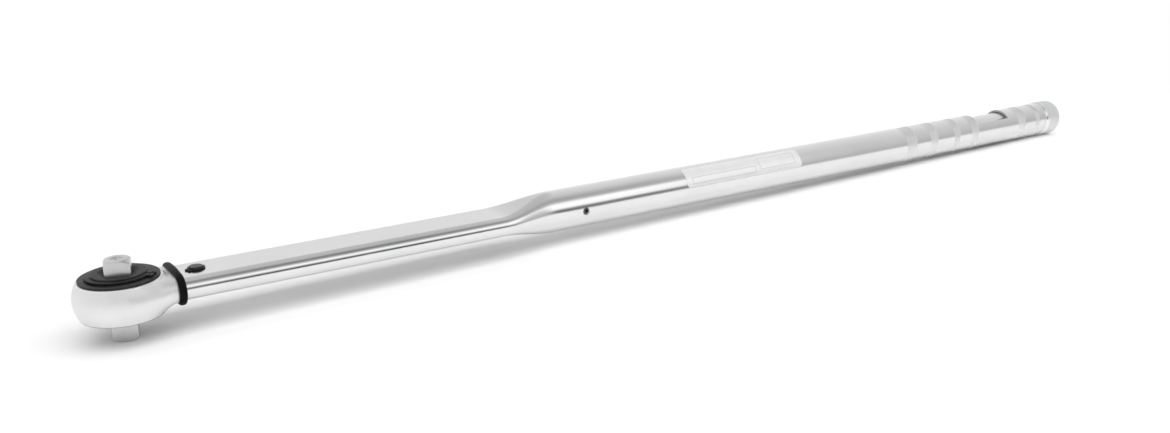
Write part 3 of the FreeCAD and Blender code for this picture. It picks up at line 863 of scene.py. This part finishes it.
def head_forging():
    """The head's rounded side and neck, with its two turned rims, the gear's bore and the journal's."""
    columns, rows = 288, 96
    deselect()
    bpy.ops.mesh.primitive_cylinder_add(vertices=columns, radius=head_foot_r * MM, depth=20 * MM,
                                        end_fill_type="NOTHING")
    piece = settle(bpy.context.object, "head_forging")
    edit(piece)
    pick("EDGE", lambda e: abs(e.verts[0].co.z - e.verts[1].co.z) > 0.01)
    bpy.ops.mesh.subdivide(number_cuts=rows - 1)
    leave()
    lowest = math.atan2(head_bottom + head_rim - head_widest_z, head_foot_r)
    highest = math.atan2(head_top - head_rim - head_widest_z, head_rim_r)
    for vertex in piece.data.vertices:
        share = vertex.co.z / (20 * MM) + 0.5
        angle = math.atan2(vertex.co.y, vertex.co.x)
        if share > 0.9999:
            vertex.co = Vector(polar(head_rim_r, angle, head_top - head_rim)) * MM
        elif share < 0.0001:
            vertex.co = Vector(polar(head_foot_r, angle, head_bottom + head_rim)) * MM
        else:
            vertex.co = head_surface(angle, lowest + (highest - lowest) * share) * MM
    inside = [(head_rim_r - 0.12, head_top - 0.4), (head_rim_r - 0.4, head_top - 0.12),
              (head_rim_r - 0.8, head_top), (gear_bore_r, head_top), (gear_bore_r, gear_bore_floor),
              (journal_bore_r, gear_bore_floor), (journal_bore_r, head_bottom + 0.3),
              (journal_bore_r + 0.3, head_bottom), (head_foot_r - 0.8, head_bottom),
              (head_foot_r - 0.4, head_bottom + 0.12), (head_foot_r - 0.12, head_bottom + 0.4)]
    edit(piece)
    pick("EDGE", lambda e: e.is_boundary and e.verts[0].co.z > 0)
    r, z = head_rim_r, head_top - head_rim
    for next_r, next_z in inside:
        bpy.ops.mesh.extrude_region_move(TRANSFORM_OT_translate={"value": (0, 0, (next_z - z) * MM)})
        share = next_r / r
        bpy.ops.transform.resize(value=(share, share, 1), center_override=(0, 0, next_z * MM))
        r, z = next_r, next_z
    pick("EDGE", lambda e: e.is_boundary)
    bpy.ops.mesh.bridge_edge_loops()
    close_up(0.001)
    leave()
    for material in (materials["satin_chrome"], materials["bright_ring"], bore_and_painted_shade):
        piece.data.materials.append(material)
    for face in piece.data.polygons:
        reach, height = math.hypot(face.center.x, face.center.y) / MM, face.center.z / MM
        if height > head_top - head_rim and cover_r < reach:
            face.material_index = 1
        # The foot's rounded edge and underside take the dark bore finish as painted shade, a dark line along
        # the foot; the bores take it as their own raw steel.
        elif height < head_bottom + head_rim or reach < gear_bore_r + 0.1:
            face.material_index = 2
    smooth(piece, 40)
    return dress(piece, "head", "satin_chrome", materials["satin_chrome"], "head_lever")


def lever_bar():
    """The lever that runs inside the tube, from the neck to the trip block."""
    half = [(34.0, 17.0), (72.0, 17.5), (104.0, 13.5), (330.0, 11.0), (414.0, 9.05)]
    deselect()
    bpy.ops.mesh.primitive_plane_add(size=MM)
    piece = bpy.context.object
    edit(piece)
    pick("VERT", lambda v: v.co.x > 0)
    bpy.ops.mesh.delete(type="VERT")
    shape = bmesh.from_edit_mesh(piece.data)
    for vertex in shape.verts:
        x, y = half[0]
        vertex.co = Vector((x, math.copysign(y, vertex.co.y), -6.1)) * MM
        vertex.select_set(True)
    bmesh.update_edit_mesh(piece.data)
    bpy.ops.mesh.select_all(action="SELECT")
    for (x0, y0), (x1, y1) in zip(half, half[1:]):
        bpy.ops.mesh.extrude_region_move(TRANSFORM_OT_translate={"value": ((x1 - x0) * MM, 0, 0)})
        bpy.ops.transform.resize(value=(1, y1 / y0, 1), center_override=(0, 0, 0))
    bpy.ops.mesh.select_all(action="SELECT")
    bpy.ops.mesh.extrude_region_move(TRANSFORM_OT_translate={"value": (0, 0, 12.2 * MM)})
    close_up()
    leave()
    settle(piece, "lever_bar")
    combine(piece, cylinder(7.5, 30, (pivot_x, 0, 0)), "DIFFERENCE")
    combine(piece, cylinder(2.8, 30, (415.0, 0, 0)), "DIFFERENCE")
    soften(piece, 0.6)
    smooth(piece)
    return dress(piece, "head", "satin_chrome", materials["satin_chrome"], "head_lever")


def cover_plate():
    profile = rounded_profile([(cover_bore, head_top, 0), (cover_r, head_top, 0), (cover_r, cover_top, 0.45),
                               (cover_bore, cover_top, 0.2)], closed=True)
    piece = lathe("cover_plate_turned", profile, closed=True)
    smooth(piece, 40)
    return dress(piece, "head", "black_cover", materials["black_cover"], "cover_plate")


def gear_circlip():
    """A spring ring that swells away from its gap, with a holed lug at each end."""
    low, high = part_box("gear_circlip")
    low, high = low.z / MM, high.z / MM
    middle, thick = (low + high) / 2, high - low
    bore, outer, offset = 19.3, 24.2, 0.8
    gap_angle, lug_r, lug_at = math.radians(-34), 2.6, 25.3
    x, y, _ = polar(offset, gap_angle + math.pi)
    piece = cylinder(outer, thick, (x, y, middle), vertices=160)
    reach = lug_r * 1.15 / lug_at
    for side in (-1, 1):
        lug = cylinder(lug_r, thick, polar(lug_at, gap_angle + side * reach, middle), vertices=40)
        combine(piece, lug, "UNION")
    combine(piece, cylinder(bore, thick * 3, (0, 0, middle), vertices=160), "DIFFERENCE")
    half_gap = lug_r * 0.3
    slot = block((0, -half_gap, low - 1), (lug_at + lug_r + 1, half_gap, high + 1), gap_angle)
    combine(piece, slot, "DIFFERENCE")
    for side in (-1, 1):
        hole = cylinder(lug_r * 0.4, thick * 3, polar(lug_at, gap_angle + side * reach, middle), vertices=24)
        combine(piece, hole, "DIFFERENCE")
    soften(piece, 0.22)
    settle(piece, "gear_circlip_pressed")
    smooth(piece)
    return dress(piece, "ratchet", "black_steel", materials["black_steel"], "gear_circlip")


# ---- the square ---------------------------------------------------------------------------
def drive_square():
    """Ground square with turned corners and a turned cone at each end."""
    piece = block((-square_half, -square_half, square_bottom), (square_half, square_half, square_top))
    profile = [(0, square_bottom), (square_end_r, square_bottom),
               (square_corner_r, square_bottom + square_cone), (square_corner_r, square_top - square_cone),
               (square_end_r, square_top), (0, square_top)]
    combine(piece, lathe("tool", profile, steps=192), "INTERSECT")
    soften(piece, 0.28, 3, 25)
    for end, way in ((square_top, -1), (square_bottom, 1)):
        cup = lathe("tool", [(0, end - way), (6.3, end - way), (5.4, end), (4.9, end + 0.7 * way),
                             (2.6, end + 0.8 * way), (0.6, end + 2.8 * way), (0, end + 2.8 * way)], steps=96)
        combine(piece, cup, "DIFFERENCE")
    facing = Vector((0, 1, 0))
    for z in (square_top - ball_from_end, square_bottom + ball_from_end):
        combine(piece, cylinder(ball_r + 0.05, 14, facing * 9 + Vector((0, 0, z)), facing, 48), "DIFFERENCE")
    piece.rotation_euler.z = square_yaw
    settle(piece, "drive_square_ground")
    smooth(piece, 30)
    return dress(piece, "square", "bright_square", materials["bright_square"], "drive_square")


# ---- the handle ---------------------------------------------------------------------------
def label_foil():
    """A bare foil, printed with nothing but two empty frames."""
    start, end = label_ends
    low, high = (math.radians(a) for a in label_angles)
    columns, rows = 75, 24
    deselect()
    bpy.ops.mesh.primitive_grid_add(x_subdivisions=columns, y_subdivisions=rows, size=2 * MM)
    piece = settle(bpy.context.object, "label_foil_film")
    corner = 3.0
    half_long, half_wide = (end - start) / 2, (high - low) * tube_r / 2
    for vertex in piece.data.vertices:
        along, across = vertex.co.x / MM * half_long, vertex.co.y / MM * half_wide
        over_x, over_y = abs(along) - (half_long - corner), abs(across) - (half_wide - corner)
        if over_x > 0 and over_y > 0:
            pull = max(over_x, over_y) / math.hypot(over_x, over_y)
            along = math.copysign(half_long - corner + over_x * pull, along)
            across = math.copysign(half_wide - corner + over_y * pull, across)
        a = (low + high) / 2 + across / tube_r
        r = tube_r + 0.03
        vertex.co = Vector(((start + end) / 2 + along, -r * math.cos(a), r * math.sin(a))) * MM
    edit(piece)
    bpy.ops.mesh.select_all(action="SELECT")
    bpy.ops.mesh.normals_make_consistent(inside=False)
    leave()
    apply_modifier(piece, "SOLIDIFY", thickness=0.12 * MM, offset=1)
    smooth(piece, 40)
    piece.data.materials.append(materials["silver_foil"])
    return dress(piece, "housing", "silver_foil", materials["silver_foil"], "label_foil")


def foil_line(start, end, low, high):
    """A printed line on the foil, from start to end along it and from low to high round it."""
    deselect()
    columns = max(round((end - start) / 4), 1)
    rows = max(round((high - low) / 3), 1)
    bpy.ops.mesh.primitive_grid_add(x_subdivisions=columns, y_subdivisions=rows, size=2 * MM)
    piece = bpy.context.object
    r = tube_r + 0.19
    for vertex in piece.data.vertices:
        along = (vertex.co.x / MM + 1) / 2
        a = math.radians(low + (high - low) * (vertex.co.y / MM + 1) / 2)
        vertex.co = Vector((start + (end - start) * along, -r * math.cos(a), r * math.sin(a))) * MM
    return piece


def label_print():
    """Two empty frames, which stand where the label's print would be."""
    lines = []
    thick, turn = 0.45, 1.4
    for start, end, low, high in ((536.0, 618.0, 18.0, 38.0), (624.0, 672.0, 24.0, 62.0)):
        lines += [foil_line(start, end, low, low + turn), foil_line(start, end, high - turn, high),
                  foil_line(start, start + thick, low, high), foil_line(end - thick, end, low, high)]
    deselect()
    for line in lines:
        line.select_set(True)
    bpy.context.view_layer.objects.active = lines[0]
    bpy.ops.object.join()
    piece = bpy.context.object
    apply_modifier(piece, "SOLIDIFY", thickness=0.03 * MM, offset=0)
    settle(piece, "label_foil_print")
    return dress(piece, "housing", "silver_foil", print_finish, "label_foil")


def scale_sleeve():
    low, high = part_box("scale_sleeve")
    start, end = low.x / MM, high.x / MM
    inner, outer = 15.2, 16.5
    profile = rounded_profile([(inner, start, 0), (outer, start, 0.3), (outer, end, 0.3), (inner, end, 0)],
                              closed=True)
    piece = lathe("scale_sleeve_turned", profile, "X", closed=True)
    combine(piece, block((1025, -2.8, -20), (end + 1, 2.8, 0)), "DIFFERENCE")
    smooth(piece, 34)
    return dress(piece, "carriage", "satin_sleeve", materials["satin_sleeve"], "scale_sleeve")


def end_ring():
    outer = cap_r + 0.2
    shoulder, groove = outer - 0.4, outer - 1.0
    profile = rounded_profile([(cap_inner_r, tube_end, 0), (shoulder, tube_end, 0.4),
                               (shoulder, tube_end + 2.2, 0.3), (groove, tube_end + 2.5, 0),
                               (groove, tube_end + 3.3, 0), (outer, tube_end + 4.9, 0.2),
                               (outer, cap_front, 0.2), (cap_inner_r, cap_front, 0)], closed=True)
    piece = lathe("end_ring_turned", profile, "X", closed=True)
    smooth(piece, 34)
    return dress(piece, "housing", "bright_ring", materials["bright_ring"], "end_ring")


def end_cap():
    spigot, floor_x, recess_r = tube_end - 2, tube_end + 1, cap_inner_r - 2.9
    profile = rounded_profile([(key_hole_r, floor_x, 0), (recess_r, floor_x, 0), (recess_r, spigot, 0),
                               (cap_inner_r, spigot, 0), (cap_inner_r, cap_front, 0),
                               (cap_r, cap_front, 0), (cap_r, wrench_end, 3.2),
                               (key_hole_r, wrench_end, 0.6)], closed=True)
    piece = lathe("end_cap_turned", profile, "X", closed=True)
    smooth(piece, 34)
    return dress(piece, "housing", "grey_cap", materials["grey_cap"], "end_cap")


# ---- pieces that keep the CAD form --------------------------------------------------------
def kept_forms():
    """Small pieces that show, merged and smoothed as they are."""
    for node, body, slot, bevel, angle in (("ratchet_gear", "ratchet", "black_steel", 0.0, 1),
                                           ("shim_washer", "ratchet", "black_steel", 0.0, 34),
                                           ("guide_pin", "housing", "satin_tube", 0.2, 34),
                                           ("setting_spindle", "spindle", "hard_steel", 0.0, 34),
                                           ("socket_ball_upper", "upper_ball", "hard_steel", 0.0, 34),
                                           ("socket_ball_lower", "lower_ball", "hard_steel", 0.0, 34)):
        piece = smooth_copy(node, node + "_smooth", bevel, angle)
        dress(piece, body, slot, materials[slot], node)


# ---- floor, light and camera --------------------------------------------------------------
floor_front = square_bottom               # the lower square stands on it at the drive axis
floor_back = -(cap_r + 0.2)               # and the end ring lies on it
floor_tilt = math.atan2(floor_back - floor_front, tube_end)
plain_level = 0.3                         # the light of the tent on all that doesn't mirror it


def floor():
    """A white sweep: it keeps the shadow near the wrench and runs out to pure white for the camera."""
    deselect()
    bpy.ops.mesh.primitive_circle_add(vertices=96, radius=40, fill_type="NGON",
                                      location=(0, 0, (floor_front - 0.02) * MM),
                                      rotation=(0, -floor_tilt, 0))
    piece = settle(bpy.context.object, "floor")
    material = bpy.data.materials.new("floor_white")
    material.use_nodes = True
    nodes, links = material.node_tree.nodes, material.node_tree.links
    shader = nodes["Principled BSDF"]
    shader.inputs["Base Color"].default_value = (0.86, 0.86, 0.86, 1)
    shader.inputs["Roughness"].default_value = 0.9
    shader.inputs["Specular IOR Level"].default_value = 0.1
    place = nodes.new("ShaderNodeTexCoord")
    long, wide = 0.95, 0.4       # the near field's half length and half width, round (0.55, -0.05)
    round_it = nodes.new("ShaderNodeMapping")
    round_it.inputs["Location"].default_value = (-0.55 / long, 0.05 / wide, 0)
    round_it.inputs["Scale"].default_value = (1 / long, 1 / wide, 0)
    links.new(place.outputs["Object"], round_it.inputs["Vector"])
    away = nodes.new("ShaderNodeVectorMath")
    away.operation = "LENGTH"
    links.new(round_it.outputs["Vector"], away.inputs[0])
    fade = remap(nodes, links, away.outputs["Value"], 0.42, 1.5, ease="SMOOTHSTEP")
    seen = looked_at(nodes, links, "Is Camera Ray", "Is Glossy Ray", "Is Transmission Ray")
    white = nodes.new("ShaderNodeEmission")
    both = nodes.new("ShaderNodeMixShader")
    links.new(reckon(nodes, links, "MULTIPLY", seen, fade), both.inputs["Fac"])
    links.new(shader.outputs[0], both.inputs[1])
    links.new(white.outputs[0], both.inputs[2])
    links.new(both.outputs[0], nodes["Material Output"].inputs["Surface"])
    piece.data.materials.append(material)


def studio():
    """A pale light tent, with a long soft light low at the front that the tube's middle mirrors."""
    world = bpy.data.worlds.new("studio")
    bpy.context.scene.world = world
    world.use_nodes = True
    nodes, links = world.node_tree.nodes, world.node_tree.links
    background = nodes["Background"]
    place = nodes.new("ShaderNodeTexCoord")
    split = nodes.new("ShaderNodeSeparateXYZ")
    links.new(place.outputs["Generated"], split.inputs[0])
    forwards = reckon(nodes, links, "MULTIPLY", split.outputs["Y"], -1)
    angle = reckon(nodes, links, "ARCTAN2", split.outputs["Z"], forwards)
    share = reckon(nodes, links, "MULTIPLY", angle, 1 / math.pi)
    # Each from the front horizon, over the top, to the back horizon; one after the other along X.
    soft = ((0.0, 0.8), (0.3, 0.88), (0.6, 0.9), (1.0, 1.0))
    front = ((0.0, 0.06), (0.05, 0.06), (0.09, 0.2), (0.13, 0.95), (0.18, 1.3), (0.22, 1.2), (0.28, 0.6),
             (0.34, 0.3), (0.42, 0.26), (0.5, 0.58), (0.65, 0.62), (0.8, 0.66), (0.87, 0.87), (1.0, 1.0))
    middle = ((0.0, 0.5), (0.03, 0.18), (0.075, 0.2), (0.135, 1.3), (0.27, 1.45), (0.34, 0.6),
              (0.42, 0.5), (0.6, 0.8), (0.8, 0.92), (1.0, 1.0))
    plain = ((0.0, 0.7), (0.06, 0.58), (0.15, 0.65), (0.3, 0.72), (0.5, 0.81), (0.8, 0.93), (1.0, 1.0))
    tent = None
    for stops, start, end in ((soft, 0, 0), (front, 0.12, 0.2), (middle, 0.42, 0.52), (plain, 0.58, 0.66)):
        row = ramp(nodes, [(position, grey(value)) for position, value in stops])
        links.new(share, row.inputs["Fac"])
        if tent is None:
            tent = row.outputs["Color"]
        else:
            side = remap(nodes, links, split.outputs["X"], start, end, ease="SMOOTHSTEP")
            tent = blend(nodes, links, side, tent, row.outputs["Color"])
    mirrored = looked_at(nodes, links, "Is Glossy Ray")
    lit = blend(nodes, links, mirrored, (*grey(plain_level), 1), tent)
    straight = looked_at(nodes, links, "Is Camera Ray", "Is Transmission Ray")
    links.new(blend(nodes, links, straight, lit, (1, 1, 1, 1)), background.inputs["Color"])


def lamp(name, place, aim, size, power):
    data = bpy.data.lights.new(name, "AREA")
    data.shape = "RECTANGLE"
    data.size, data.size_y = size
    data.energy = power
    piece = bpy.data.objects.new(name, data)
    bpy.context.scene.collection.objects.link(piece)
    piece.location = place
    piece.rotation_mode = "QUATERNION"
    piece.rotation_quaternion = (Vector(aim) - Vector(place)).to_track_quat("-Z", "Y")
    piece.visible_glossy = False
    piece.visible_camera = False
    return piece


def camera():
    data = bpy.data.cameras.new("camera")
    piece = bpy.data.objects.new("camera", data)
    bpy.context.scene.collection.objects.link(piece)
    data.sensor_width = 36
    data.lens = 35.63
    data.clip_start, data.clip_end = 0.01, 100
    piece.location = (-0.15324, -0.88752, 0.29602)
    ahead = Vector((0.52087, 0.80661, -0.27942))
    turn = ahead.to_track_quat("-Z", "Y")
    roll = math.radians(-0.95)
    piece.rotation_mode = "QUATERNION"
    piece.rotation_quaternion = turn @ Quaternion((0, 0, 1), roll)
    bpy.context.scene.camera = piece


# ---- all of it ----------------------------------------------------------------------------
finish_cad_nodes()
housing_tube()
neck_ring()
pivot()
stop_screw()
head_forging()
lever_bar()
cover_plate()
gear_circlip()
drive_square()
label_foil()
label_print()
scale_sleeve()
end_ring()
end_cap()
kept_forms()
floor()
studio()
lamp("front_above", (0.5, -0.8, 1.39), (0.5, 0.0, 0.0), (4.4, 1.6), 51)
lamp("back_above", (0.5, 0.92, 1.31), (0.5, 0.0, 0.0), (4.4, 1.16), 13)
camera()
bpy.context.scene.view_settings.view_transform = "Standard"
